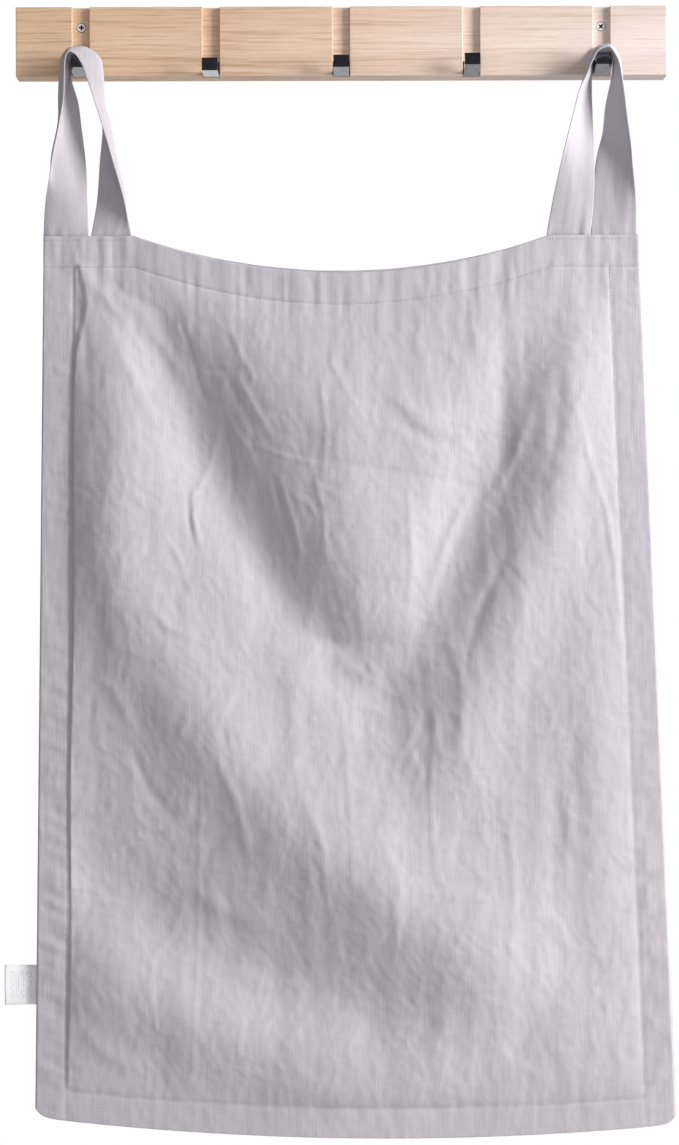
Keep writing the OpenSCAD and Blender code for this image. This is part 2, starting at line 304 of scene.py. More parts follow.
def make(name, verts, faces, smooth=True):
    """A mesh object in the scene."""
    mesh = bpy.data.meshes.new(name)
    mesh.from_pydata([tuple(v) for v in verts], [], faces)
    mesh.validate()
    if smooth:
        mesh.polygons.foreach_set("use_smooth", [True] * len(mesh.polygons))
    obj = bpy.data.objects.new(name, mesh)
    bpy.context.scene.collection.objects.link(obj)
    return obj


def thicken(obj, thickness, offset):
    """Gives a sheet of cloth its thickness."""
    mod = obj.modifiers.new("cloth_thickness", "SOLIDIFY")
    mod.thickness = thickness
    mod.offset = offset
    return obj


def steps(width, hem_a, hem_b, fine):
    """Distances across the cloth: close together at the edges, then even."""
    rim = [0, 0.35, 0.8, 1.5, 2.4]
    a = [r * MM for r in rim] + list(np.arange(4 * MM, hem_a - 1e-6, fine))
    b = [width - r * MM for r in rim] + list(width - np.arange(4 * MM, hem_b - 1e-6, fine))
    n = max(2, int((width - hem_a - hem_b) / fine))
    middle = list(np.linspace(hem_a, width - hem_b, n + 1))
    crease = [hem_a + r * MM for r in (0.7, 1.3, 2.7, 3.4)]
    return np.array(sorted(a + middle + b + crease)) / width


def grid_quads(rows, cols):
    """The quads of a grid of points, as an array of corner numbers."""
    idx = np.arange(rows * cols).reshape(rows, cols)
    return np.stack([idx[:-1, :-1], idx[1:, :-1], idx[1:, 1:], idx[:-1, 1:]], axis=-1)


def cloth(name, fine, y_of, rise=0.0, keep=None):
    """A grid over the apron's outline. y_of gives its surface, keep leaves parts out."""
    us = steps(TOP_RIGHT - TOP_LEFT, HEM_W, HEM_W, fine)
    vs = steps(APRON_H, TOP_HEM, HEM_W, fine)
    u, v = np.meshgrid(us, vs)
    z0 = SEAM_Z - v * APRON_H
    x = side_x(-1, z0) + u * (side_x(1, z0) - side_x(-1, z0))
    head = top_z(TOP_LEFT + u * (TOP_RIGHT - TOP_LEFT), rise)
    foot = bottom_z(panel_lo.x + u * (panel_hi.x - panel_lo.x))
    z = head + v * (foot - head)
    verts = np.stack([x, y_of(x, z), z], axis=-1).reshape(-1, 3)
    quads = grid_quads(*x.shape)
    if keep is not None:
        cx = (x[:-1, :-1] + x[1:, 1:]) / 2
        cz = (z[:-1, :-1] + z[1:, 1:]) / 2
        quads = quads[keep(cx, cz)]
    quads = quads.reshape(-1, 4)
    used, quads = np.unique(quads, return_inverse=True)
    return make(name, verts[used], quads.reshape(-1, 4).tolist())


def smooth_line(points, parts):
    """Catmull-Rom through the rows of points, with parts pieces between each two."""
    p = np.array(points, float)
    p = np.concatenate([[2 * p[0] - p[1]], p, [2 * p[-1] - p[-2]]])
    out = []
    for n in range(1, len(p) - 2):
        for k in range(parts):
            t = k / parts
            out.append(0.5 * (2 * p[n] + (p[n + 1] - p[n - 1]) * t
                              + (2 * p[n - 1] - 5 * p[n] + 4 * p[n + 1] - p[n + 2]) * t * t
                              + (3 * p[n] - p[n - 1] - 3 * p[n + 1] + p[n + 2]) * t**3))
    out.append(p[-2])
    return np.array(out)


# ---------- straps ----------

# Each strap is five lines that run along it, from its front edge over the hook to its
# back edge. A station gives the five points across: X from the hook, Y, Z, in mm.
LEFT_STRAP = [
    [(-33.8, -26.4, -182), (-23.5, -26.8, -182), (-13, -26.8, -182), (-2.5, -26.6, -182), (8.2, -26.2, -182)],
    [(-31.2, -28.6, -149), (-22, -29.4, -149), (-12.5, -28.6, -149), (-3, -27, -149), (6.9, -25, -149)],
    [(-24.3, -35, -115), (-25, -31, -115), (-15, -27, -115), (-5, -23, -115), (5, -20.5, -115)],
    [(-16.5, -40.2, -80), (-18.7, -33.5, -80), (-14.5, -26, -80), (-7, -20.5, -80), (0.6, -16, -80)],
    [(-12.4, -40.8, -57), (-18.2, -34, -57), (-14.5, -26.5, -57), (-8.5, -20.5, -57), (-2.6, -15.5, -57)],
    [(-11.6, -41, -37), (-17.4, -33.5, -35), (-10.2, -27.5, -34), (-13.5, -22, -34), (-8.8, -19.2, -34)],
    [(-11.2, -41.2, -23.5), (-15.4, -33.5, -20), (-10.2, -27.5, -22), (-12.6, -22.5, -20), (-9.8, -19.4, -17)],
    [(-8.2, -41, -15.6), (-10.2, -33.8, -12.0), (-7.2, -26.9, -20), (-8.2, -22.5, -15.5), (-7.6, -19.5, -9.4)],
    [(-2.6, -40.6, -17.4), (-2.0, -33.2, -9.8), (0, -26.8, -25.2), (0, -22.3, -21), (0, -19.5, -8.4)],
    [(1.4, -40.2, -23), (7.2, -32.6, -9.6), (7.0, -27, -21.5), (6.8, -22.3, -17.5), (7, -19.5, -8.4)],
    [(4.4, -39.6, -29), (19.4, -31.4, -19), (13, -27, -23), (13.4, -22.4, -20), (11.8, -19.4, -16)],
    [(7.6, -38.8, -38.5), (22.2, -31, -37), (17, -26, -36), (12.8, -21.8, -36), (9.4, -19.2, -35)],
    [(14.8, -37.6, -60), (22.2, -30.5, -60), (22.2, -23, -60), (20.5, -15.5, -60), (17, -9.5, -60)],
    [(21.4, -36.4, -80), (27, -31, -80), (27.6, -24, -80), (25.4, -16.5, -80), (18.8, -10.5, -80)],
    [(30, -34, -110), (33.6, -29, -110), (32.6, -22.4, -110), (26.6, -17.5, -110), (16.8, -15, -110)],
    [(40.6, -31.5, -148), (41.6, -28, -148), (35, -24.5, -148), (25.5, -21.5, -148), (14.4, -19, -148)],
    [(47.8, -26.6, -182), (38.4, -26.8, -182), (29, -26.6, -182), (19.4, -26.2, -182), (9.8, -25.8, -182)],
]
RIGHT_STRAP = [
    [(-52.6, -27.2, -182), (-42.5, -27.4, -182), (-32.3, -27.4, -182), (-22, -27.4, -182), (-11.8, -27.2, -182)],
    [(-46.6, -30, -148), (-37.5, -30.4, -148), (-28, -30, -148), (-18.4, -29, -148), (-8.9, -28.4, -148)],
    [(-38.4, -35.4, -110), (-33.2, -34, -110), (-26, -31, -110), (-17, -28, -110), (-7.8, -26.2, -110)],
    [(-29.4, -38.6, -75), (-27.2, -33.6, -75), (-21.8, -27.4, -75), (-15.4, -22.5, -75), (-8.4, -19.6, -75)],
    [(-23.4, -40.2, -52), (-22.2, -34, -52), (-18.2, -27, -52), (-13.6, -21, -52), (-8.8, -17, -52)],
    [(-15.8, -40.6, -37), (-17.4, -34, -35), (-12, -27.5, -34), (-13.6, -22.6, -34), (-9.4, -19.3, -34)],
    [(-11.3, -40.6, -26), (-14.4, -33.8, -20), (-10, -27.5, -21.5), (-13, -22.5, -18), (-11.2, -19.4, -14)],
    [(-5.8, -40.8, -15.9), (-7, -34, -11.6), (-5.4, -26.8, -21), (-6.6, -22.4, -14.5), (-6.6, -19.4, -7)],
    [(0.8, -40.8, -12.7), (0.5, -33.8, -9.4), (0.5, -26.8, -23.8), (0.2, -22.4, -18), (0, -19.4, -5)],
    [(5.6, -40.8, -13.7), (7.3, -33.8, -10.6), (6, -26.8, -21), (7.6, -22.4, -15), (7.4, -19.4, -7.6)],
    [(12, -40.4, -25), (14.4, -33.6, -21), (9.9, -27.5, -23), (11.4, -22.5, -19), (10, -19.4, -17)],
    [(14.9, -40, -39), (16, -33.5, -37), (11.6, -27.5, -35), (10.4, -22.6, -34), (8.8, -19.3, -34)],
    [(18.4, -38.2, -60), (18.4, -32, -60), (14.5, -25.6, -60), (9.2, -20, -60), (3.6, -15.5, -60)],
    [(22, -35.8, -85), (21.4, -31, -85), (15.4, -25, -85), (8, -20.4, -85), (0.6, -17.4, -85)],
    [(25.6, -33, -110), (23, -29, -110), (14.4, -24.4, -110), (4.6, -21.6, -110), (-5.6, -20, -110)],
    [(29.8, -29.6, -148), (21.4, -28, -148), (11, -25.6, -148), (0, -24, -148), (-10.3, -23, -148)],
    [(30.7, -26.2, -182), (20.2, -26.2, -182), (9.7, -26, -182), (-0.8, -25.6, -182), (-11.3, -25.2, -182)],
]


def strap(name, stations, at_x, seed):
    """A ribbon of doubled linen through the stations, with its hem edges and small gathers."""
    along = smooth_line(np.array(stations, float).reshape(len(stations), -1), 9)
    rows = along.reshape(len(along), -1, 3)
    grid = np.stack([smooth_line(r, 6) for r in rows]) * MM
    du = np.gradient(grid, axis=1)
    dv = np.gradient(grid, axis=0)
    n = np.cross(du, dv)
    n /= np.maximum(np.linalg.norm(n, axis=-1, keepdims=True), 1e-9)
    across = np.linspace(0, 1, grid.shape[1])[None, :] * 42 * MM
    run = np.cumsum(np.linalg.norm(dv, axis=-1), axis=0)
    near_seam = np.exp(-(grid[..., 2] - SEAM_Z) / (16 * MM))
    gathers = noise(across + 0 * run, run, 6 * MM, 30 * MM, seed) * (0.12 + 0.7 * near_seam)
    soft = noise(across + 0.2 * run, run, 16 * MM, 28 * MM, seed + 2) * 0.35
    grid = grid + n * ((gathers + soft) * MM)[..., None]
    grid[..., 0] += at_x
    quads = grid_quads(*grid.shape[:2])
    obj = make(name, grid.reshape(-1, 3), quads.reshape(-1, 4).tolist())
    thicken(obj, RIBBON, 0.0)
    sub = obj.modifiers.new("soft_edges", "SUBSURF")
    sub.levels = sub.render_levels = 1
    return obj


# ---------- stitching ----------


def stitch_row(points, length, gap, radius, ends=0.35):
    """Separate stitches along a line of surface points. Each one is a small rounded bar."""
    p = np.array(points, float)
    seg = np.linalg.norm(np.diff(p, axis=0), axis=1)
    along = np.concatenate([[0], np.cumsum(seg)])
    verts, faces = [], []
    count = int(along[-1] / (length + gap))
    for k in range(count):
        s = k * (length + gap) + length * np.array([0, 0.16, 0.5, 0.84, 1.0])
        line = np.stack([np.interp(s, along, p[:, m]) for m in range(3)], axis=1)
        line[0, 1] += radius
        line[-1, 1] += radius
        d = line[-1] - line[0]
        d /= max(np.linalg.norm(d), 1e-9)
        side = np.cross(d, (0, -1.0, 0))
        side /= max(np.linalg.norm(side), 1e-9)
        base = len(verts)
        for q, size in zip(line, (ends, 0.9, 1.0, 0.9, ends)):
            for a in range(6):
                t = a * math.pi / 3
                verts.append(q + radius * size * (math.cos(t) * side
                                                  + math.sin(t) * np.array((0, -1.0, 0))))
        for ring in range(4):
            for a in range(6):
                i, j = base + ring * 6 + a, base + ring * 6 + (a + 1) % 6
                faces.append((i, j, j + 6, i + 6))
        faces.append(tuple(base + a for a in range(5, -1, -1)))
        faces.append(tuple(base + 24 + a for a in range(6)))
    return verts, faces


def on_front(x, z, proud=0.10):
    """Points just proud of the apron's front, proud given in mm."""
    x, z = np.asarray(x, float), np.asarray(z, float)
    return np.stack([x, front_y(x, z) - proud * MM, z], axis=1)


def joined(name, rows):
    """One object out of several lists of points and faces."""
    verts, faces = [], []
    for v, f in rows:
        base = len(verts)
        verts += v
        faces += [tuple(i + base for i in q) for q in f]
    return make(name, verts, faces)


# ---------- materials ----------


def material(name):
    m = bpy.data.materials.new(name)
    m.use_nodes = True
    m.node_tree.nodes.clear()
    return m, m.node_tree


class Nodes:
    """Short hand for wiring shader nodes."""

    def __init__(self, tree):
        self.tree = tree

    def add(self, kind, **values):
        node = self.tree.nodes.new(kind)
        for key, value in values.items():
            if hasattr(node, key):
                setattr(node, key, value)
        return node

    def link(self, a, b):
        self.tree.links.new(a, b)

    def coords(self, scale):
        tex = self.add("ShaderNodeTexCoord")
        mapping = self.add("ShaderNodeMapping")
        mapping.inputs["Scale"].default_value = scale
        self.link(tex.outputs["Object"], mapping.inputs["Vector"])
        return mapping.outputs["Vector"]

    def noise(self, vector, scale, detail=2.0, rough=0.5):
        n = self.add("ShaderNodeTexNoise")
        n.inputs["Scale"].default_value = scale
        n.inputs["Detail"].default_value = detail
        n.inputs["Roughness"].default_value = rough
        self.link(vector, n.inputs["Vector"])
        return n.outputs["Fac"]

    def wave(self, vector, scale, direction, distortion=0.0, detail=0.0):
        n = self.add("ShaderNodeTexWave", wave_type="BANDS", bands_direction=direction)
        n.inputs["Scale"].default_value = scale
        n.inputs["Distortion"].default_value = distortion
        n.inputs["Detail"].default_value = detail
        n.inputs["Detail Scale"].default_value = 1.0
        self.link(vector, n.inputs["Vector"])
        return n.outputs["Fac"]

    def math(self, op, a, b=0.0, c=0.0):
        n = self.add("ShaderNodeMath", operation=op)
        for k, value in enumerate((a, b, c)):
            if isinstance(value, (int, float)):
                n.inputs[k].default_value = value
            else:
                self.link(value, n.inputs[k])
        return n.outputs[0]

    def ramp(self, fac, stops):
        n = self.add("ShaderNodeValToRGB")
        while len(n.color_ramp.elements) < len(stops):
            n.color_ramp.elements.new(0.5)
        for e, (at, colour) in zip(n.color_ramp.elements, stops):
            e.position = at
            e.color = (*colour, 1)
        self.link(fac, n.inputs["Fac"])
        return n.outputs["Color"]

    def mix(self, fac, a, b, blend="MIX"):
        n = self.add("ShaderNodeMix", data_type="RGBA", blend_type=blend)
        for key, value in (("Factor", fac), ("A", a), ("B", b)):
            sockets = [s for s in n.inputs if s.name == key and s.enabled]
            socket = sockets[0]
            if isinstance(value, (int, float)):
                socket.default_value = value
            elif isinstance(value, tuple):
                socket.default_value = (*value, 1)
            else:
                self.link(value, socket)
        return [s for s in n.outputs if s.name == "Result" and s.enabled][0]

    def bump(self, height, strength, distance, normal=None):
        n = self.add("ShaderNodeBump")
        n.inputs["Strength"].default_value = strength
        n.inputs["Distance"].default_value = distance
        self.link(height, n.inputs["Height"])
        if normal is not None:
            self.link(normal, n.inputs["Normal"])
        return n.outputs["Normal"]

    def surface(self, colour, roughness, normal=None, **constants):
        out = self.add("ShaderNodeOutputMaterial")
        p = self.add("ShaderNodeBsdfPrincipled")
        if isinstance(colour, tuple):
            p.inputs["Base Color"].default_value = (*colour, 1)
        else:
            self.link(colour, p.inputs["Base Color"])
        if isinstance(roughness, (int, float)):
            p.inputs["Roughness"].default_value = roughness
        else:
            self.link(roughness, p.inputs["Roughness"])
        if normal is not None:
            self.link(normal, p.inputs["Normal"])
        for key, value in constants.items():
            p.inputs[key.replace("_", " ")].default_value = value
        self.link(p.outputs["BSDF"], out.inputs["Surface"])
        return p


def linear(r, g, b):
    """A colour given as it looks on screen, 0 to 255, made linear."""
    return tuple((c / 255 / 12.92) if c <= 10 else ((c / 255 + 0.055) / 1.055) ** 2.4
                 for c in (r, g, b))


def linen(name, tint):
    """Plain-woven linen: warp and weft, thick slub yarns, and a faint cloudy tone."""
    m, tree = material(name)
    n = Nodes(tree)
    obj = n.coords((1, 1, 1))
    clouds = n.noise(obj, 7.0, 3.0, 0.55)
    patches = n.noise(n.coords((1, 1, 0.6)), 3.2, 2.0, 0.5)
    warp_slub = n.noise(n.coords((1150, 300, 34)), 1.0, 2.0, 0.6)
    weft_slub = n.noise(n.coords((44, 40, 1200)), 1.0, 2.0, 0.6)
    fine = n.noise(n.coords((1600, 1600, 240)), 1.0, 1.0, 0.5)
    warp = n.wave(obj, 340.0, "X", 0.6, 1.0)
    weft = n.wave(obj, 330.0, "Z", 0.6, 1.0)
    base = n.ramp(clouds, [(0.30, linear(*[c - 5 for c in tint])),
                           (0.72, linear(*[c + 4 for c in tint]))])
    cool = n.mix(n.ramp(patches, [(0.45, (0, 0, 0)), (0.70, (1, 1, 1))]), base,
                 linear(tint[0] - 5, tint[1] - 4, tint[2] + 1))
    yarn = n.ramp(n.math("ADD", n.math("MULTIPLY", warp_slub, 0.72),
                         n.math("MULTIPLY", weft_slub, 0.28)),
                  [(0.36, (0.82, 0.82, 0.82)), (0.50, (0.97, 0.97, 0.97)), (0.66, (1, 1, 1))])
    tone = n.mix(0.55, cool, yarn, "MULTIPLY")
    weave = n.math("MULTIPLY", warp, weft)
    threads = n.ramp(weave, [(0.0, (0.78, 0.78, 0.79)), (0.6, (1, 1, 1))])
    tone = n.mix(0.22, tone, threads, "MULTIPLY")
    height = n.math("ADD", n.math("MULTIPLY", weave, 0.35),
                    n.math("ADD", n.math("MULTIPLY", warp_slub, 0.8),
                           n.math("ADD", n.math("MULTIPLY", weft_slub, 0.35),
                                  n.math("MULTIPLY", fine, 0.3))))
    normal = n.bump(height, 0.55, 0.00035)
    n.surface(tone, 0.86, normal, Sheen_Weight=0.12, Sheen_Roughness=0.5, Specular_IOR_Level=0.25)
    return m


def thread(name, tint):
    """Twisted sewing thread."""
    m, tree = material(name)
    n = Nodes(tree)
    twist = n.wave(n.coords((1, 1, 1)), 900.0, "DIAGONAL", 0.4, 0.0)
    colour = n.ramp(twist, [(0.2, linear(*[c - 26 for c in tint])), (0.8, linear(*tint))])
    n.surface(colour, 0.7, n.bump(twist, 0.5, 0.0001), Sheen_Weight=0.1)
    return m


def satin(name):
    """A woven satin care label, with plain printed bars in place of its words."""
    m, tree = material(name)
    n = Nodes(tree)
    obj = n.coords((1, 1, 1))
    ribs = n.wave(obj, 620.0, "Z", 0.2, 0.0)
    cloth_tone = n.ramp(n.noise(obj, 90.0, 2.0), [(0.3, linear(252, 252, 255)),
                                                  (0.7, linear(255, 255, 255))])
    split = n.add("ShaderNodeSeparateXYZ")
    n.link(obj, split.inputs[0])
    x, z = split.outputs[0], split.outputs[2]
    wide = label_hi.x - label_lo.x
    lines = n.math("GREATER_THAN", n.math("SINE", n.math("MULTIPLY", x, 2 * math.pi / 0.0023)), 0.35)
    dash = n.math("GREATER_THAN", n.noise(n.coords((420, 1, 900)), 1.0, 1.0), 0.47)
    left = n.math("GREATER_THAN", x, label_lo.x + wide * 0.10)
    right = n.math("LESS_THAN", x, label_lo.x + wide * 0.62)
    above = n.math("GREATER_THAN", z, label_lo.z + 6 * MM)
    below = n.math("LESS_THAN", z, label_hi.z - 5 * MM)
    inside = n.math("MULTIPLY", n.math("MULTIPLY", left, right), n.math("MULTIPLY", above, below))
    ink = n.math("MULTIPLY", n.math("MULTIPLY", lines, dash), inside)
    colour = n.mix(n.math("MULTIPLY", ink, 0.42), cloth_tone, linear(150, 150, 160))
    n.surface(colour, 0.42, n.bump(ribs, 0.4, 0.00008), Sheen_Weight=0.1, Specular_IOR_Level=0.45)
    return m


def bamboo(name):
    """Laminated bamboo: horizontal strips, fine fibres and flecks, with painted light that makes it paler to the
    right.
    """
    m, tree = material(name)
    n = Nodes(tree)
    obj = n.coords((1, 1, 1))
    fibres = n.noise(n.coords((17, 300, 780)), 1.0, 3.0, 0.7)
    streaks = n.noise(n.coords((6, 120, 330)), 1.0, 3.0, 0.65)
    flecks = n.noise(n.coords((60, 900, 1500)), 1.0, 2.0, 0.6)
    strip_tone = n.noise(n.coords((0.9, 20, 48)), 1.0, 0.0)
    split = n.add("ShaderNodeSeparateXYZ")
    n.link(obj, split.inputs[0])
    x = split.outputs[0]
    length = rail_hi.x - rail_lo.x
    along = n.math("DIVIDE", n.math("SUBTRACT", x, rail_lo.x), length)
    # Painted light: the wood colour turns paler from the left end to the right end, standing in for stronger
    # light at the right. The grain is also made weaker towards the right.
    wood_painted_paler_right = n.ramp(along, [(0.0, linear(228, 196, 166)), (0.35, linear(226, 197, 173)),
                          (0.7, linear(230, 210, 197)), (1.0, linear(229, 216, 213))])
    grain = n.ramp(n.math("ADD", n.math("MULTIPLY", fibres, 0.55), n.math("MULTIPLY", streaks, 0.45)),
                   [(0.38, (0.66, 0.58, 0.48)), (0.48, (0.93, 0.90, 0.87)), (0.58, (1.0, 1.0, 1.0))])
    tone = n.mix(n.ramp(along, [(0.0, (0.95,) * 3), (1.0, (0.55,) * 3)]), wood_painted_paler_right, grain, "MULTIPLY")
    strips = n.ramp(strip_tone, [(0.35, (0.90, 0.87, 0.84)), (0.65, (1.0, 1.0, 1.0))])
    tone = n.mix(0.8, tone, strips, "MULTIPLY")
    specks = n.ramp(flecks, [(0.30, (0.70, 0.60, 0.50)), (0.44, (1, 1, 1))])
    tone = n.mix(0.35, tone, specks, "MULTIPLY")
    rough = n.ramp(fibres, [(0.3, (0.62, 0.62, 0.62)), (0.7, (0.46, 0.46, 0.46))])
    bw = n.add("ShaderNodeRGBToBW")
    n.link(rough, bw.inputs[0])
    height = n.math("ADD", n.math("MULTIPLY", fibres, 0.7), n.math("MULTIPLY", flecks, 0.3))
    n.surface(tone, bw.outputs[0], n.bump(height, 0.25, 0.00025),
              Specular_IOR_Level=0.35, Coat_Weight=0.04)
    return m


def metal(name, colour, rough, scratch, grain_scale, metallic=1.0, face_y=None):
    """Plated steel with fine polishing marks and a little wear. With face_y, a screw whose recess
    and rim, just behind that face, are painted near black as shade."""
    m, tree = material(name)
    n = Nodes(tree)
    marks = n.noise(n.coords(grain_scale), 1.0, 3.0, 0.6)
    cloudy = n.noise(n.coords((1, 1, 1)), 180.0, 2.0)
    tone = n.ramp(cloudy, [(0.3, tuple(c * 0.85 for c in colour)),
                           (0.7, tuple(min(1, c * 1.12) for c in colour))])
    if face_y is not None:
        split = n.add("ShaderNodeSeparateXYZ")
        n.link(n.coords((1, 1, 1)), split.inputs[0])
        depth = n.math("DIVIDE", n.math("SUBTRACT", split.outputs[1], face_y), 4 * MM)
        # Painted shade: everything from about 0.4 mm to 3.2 mm behind the screw's face, the cross recess and the
        # rim ring, is coloured near black. The recess itself is real geometry.
        painted_recess_shade = n.ramp(depth, [(0.03, (1, 1, 1)), (0.09, (0.07, 0.05, 0.045)),
                              (0.80, (0.07, 0.05, 0.045)), (0.95, (1, 1, 1))])
        tone = n.mix(1.0, tone, painted_recess_shade, "MULTIPLY")
    r = n.ramp(marks, [(0.3, (rough * 0.75,) * 3), (0.75, (rough * 1.35,) * 3)])
    bw = n.add("ShaderNodeRGBToBW")
    n.link(r, bw.inputs[0])
    n.surface(tone, bw.outputs[0], n.bump(marks, scratch, 0.00005), Metallic=metallic)
    return m


linen_front = linen("linen_front", (199, 194, 198))
linen_back = linen("linen_back", (198, 193, 198))
linen_strap = linen("linen_strap", (196, 191, 196))
seam_thread = thread("seam_thread", (184, 178, 188))
label_satin = satin("label_satin")
bamboo_with_painted_light = bamboo("bamboo_with_painted_light")
black_nickel = metal("black_nickel", (0.30, 0.30, 0.31), 0.10, 0.15, (60, 900, 900))
bracket_steel = metal("bracket_steel", (0.16, 0.16, 0.17), 0.34, 0.3, (40, 600, 900))
zinc = metal("zinc_plate", (0.74, 0.72, 0.70), 0.42, 0.3, (500, 200, 500))
# The screws' material paints shade into their recess and rim, measured back from the face of the heads.
screw_zinc_with_painted_shade = metal("screw_zinc_with_painted_shade", (0.97, 0.94, 0.92), 0.36, 0.3, (500, 200, 500), 0.1,
                   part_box("wall_screws")[0].y)


def dress(obj, mat):
    """Puts one material on every slot of a piece."""
    if not obj.data.materials:
        obj.data.materials.append(mat)
    for slot in obj.material_slots:
        slot.material = mat
    return obj


# The wall screws, in mm
DOME_R, RIM_R, SHANK_R = 3.85, 4.64, 1.6
ARM_HALF, ARM_REACH, RECESS_DEEP = 0.8, 2.6, 2.7
PITCH, THREAD_DEEP = 2.0, 0.65
SCREW_LONG = 50


def wall_screw(at_x, at_z, face_y, turn):
    """A domed cross-head wood screw, as rings of points from its head to its tip."""
    around = np.arange(72) * 2 * math.pi / 72
    rings = []
    for r in list(np.arange(0.12, 2.9, 0.18)) + [3.2, 3.5, 3.75, DOME_R]:
        arm = np.minimum(np.abs(r * np.cos(around + turn)), np.abs(r * np.sin(around + turn)))
        recess = RECESS_DEEP * np.clip((ARM_HALF - arm) / 0.22, 0, 1) * np.clip((ARM_REACH - r) / 0.3, 0, 1)
        rings.append((r + 0 * around, recess - 0.35 * (1 - (r / DOME_R) ** 2)))
    # The rim ring sits about 0.37 mm behind the face, where the screw material paints it near black as shade.
    for r, y in ((3.9, 0.36), (RIM_R, 0.38), (1.7, 3.0), (SHANK_R, 3.6), (SHANK_R, 13.6)):
        rings.append((r + 0 * around, y + 0 * around))
    for y in np.arange(13.9, 45, 0.25):
        rise = np.abs(((y / PITCH + around / (2 * math.pi)) % 1) - 0.5) * 2
        rings.append((SHANK_R + THREAD_DEEP * np.clip((rise - 0.55) / 0.45, 0, 1), y + 0 * around))
    rings += [(1.5 + 0 * around, 45.2 + 0 * around), (0.2 + 0 * around, SCREW_LONG + 0 * around)]
    verts, faces = [], []
    for r, y in rings:
        verts += [(at_x + MM * r[k] * math.cos(a), face_y + MM * y[k],
                   at_z + MM * r[k] * math.sin(a)) for k, a in enumerate(around)]
    count = len(around)
    for ring in range(len(rings) - 1):
        for k in range(count):
            a, b = ring * count + k, ring * count + (k + 1) % count
            faces.append((a, a + count, b + count, b))
    faces.append(tuple(range(count)))
    faces.append(tuple(range(len(verts) - 1, len(verts) - count - 1, -1)))
    return verts, faces


dress(nodes["rail_board"], bamboo_with_painted_light)
for n in range(1, 6):
    dress(nodes[f"hook_{n}"], black_nickel)
    dress(nodes[f"bracket_{n}"], bracket_steel)
    dress(nodes[f"hinge_pin_{n}"], zinc)
dress(nodes["bracket_screws"], zinc)

screw_lo, screw_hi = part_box("wall_screws")
screw_z = (screw_lo.z + screw_hi.z) / 2
screws = dress(joined("turned_screws", [wall_screw(hook_x[0], screw_z, screw_lo.y, 0.15),
                                        wall_screw(hook_x[4], screw_z, screw_lo.y, 0.7)]), screw_zinc_with_painted_shade)
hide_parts("wall_screws")
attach(screws, "rail")

# ---------- the apron ----------

front = cloth("apron_front", 2.0 * MM, front_y)
thicken(front, CLOTH, -1.0)
dress(front, linen_front)
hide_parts("front_panel")


def back_y(x, z):
    """Y of the apron's back surface, kept clear of the front's folds."""
    left, right, low, top = edges(x, z)
    edge = np.maximum(np.minimum(np.minimum(left, right), np.minimum(low, top + 3 * MM)), 0)
    line, roll = 6 * MM, 24 * MM
    inner = sewn_in(left, line, roll) * sewn_in(right, line, roll) * sewn_in(low, line, roll)
    sag = 1.3 * noise(x, z, 60 * MM, 300 * MM, 71) + 0.5 * noise(x, z, 22 * MM, 120 * MM, 73)
    crumple = 0.35 * ridged(x, z, 24 * MM, 36 * MM, 77) + 0.15 * noise(x, z, 7 * MM, 12 * MM, 79)
    seams = (0.25 * puckers(z, left - 4 * MM, 12 * MM, 10 * MM, 81)
             + 0.25 * puckers(z, right - 4 * MM, 12 * MM, 10 * MM, 83))
    wave = (0.9 * inner * (1 + sag) + crumple + seams) * MM
    own = back_hi.y - 0.9 * MM + wave - rolled(edge, 1.2 * MM)
    behind_front = front_y(x, np.minimum(z, top_z(x))) + 4.6 * MM * np.minimum(1, edge / (9 * MM))
    return np.maximum(own, behind_front)


back = cloth("apron_back", 4.0 * MM, back_y, rise=2.4 * MM)
thicken(back, CLOTH, 1.0)
dress(back, linen_back)
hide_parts("back_panel")

mid_y = (facing_lo.y + facing_hi.y) / 2


def facing_y(x, z):
    """Y of the turned-in edges, between the two panels."""
    return (mid_y + 0.25 * MM * noise(x, z, 14 * MM, 14 * MM, 91)
            + 0.1 * MM * noise(x, z, 5 * MM, 5 * MM, 93))


def in_border(x, z):
    left, right, low, top = edges(x, z)
    return (np.minimum(np.minimum(left, right), low) < HEM_W) & (top > TOP_HEM)


def in_top(x, z):
    return edges(x, z)[3] < TOP_HEM


border = cloth("hem_turning", 4.0 * MM, facing_y, keep=in_border)
thicken(border, TURNING, 0.0)
dress(border, linen_back)
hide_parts("border_facing")
top_band = cloth("neck_turning", 4.0 * MM, facing_y, keep=in_top)
thicken(top_band, TURNING, 0.0)
dress(top_band, linen_back)
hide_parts("top_facing")

# ---------- straps ----------

strap_l = dress(strap("strap_loop_left", LEFT_STRAP, hook_x[0], 31), linen_strap)
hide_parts("strap_left")
strap_r = dress(strap("strap_loop_right", RIGHT_STRAP, hook_x[4], 37), linen_strap)
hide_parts("strap_right")

# ---------- stitching ----------

zs = np.linspace(SEAM_Z - TOP_HEM - 1 * MM, bottom_z(np.array(panel_lo.x + HEM_W)) + HEM_W, 700)
xs = np.linspace(panel_lo.x + HEM_W, panel_hi.x - HEM_W, 500)


def down_side(side, z):
    """X of the left (-1) or right (1) stitch line at a height."""
    return side_x(side, z) - side * HEM_W


rows = [stitch_row(on_front(down_side(s, zs), zs), *STITCH) for s in (-1, 1)]
rows.append(stitch_row(on_front(xs, bottom_z(xs) + HEM_W), *STITCH))
border_rows = dress(joined("hem_stitches", rows), seam_thread)
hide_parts("border_stitching")

xs_top = np.linspace(TOP_LEFT + 1 * MM, TOP_RIGHT - 1 * MM, 600)
top_rows = dress(joined("neck_stitches", [stitch_row(
    on_front(xs_top, top_z(xs_top) - TOP_HEM), *STITCH)]), seam_thread)
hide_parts("top_stitching")

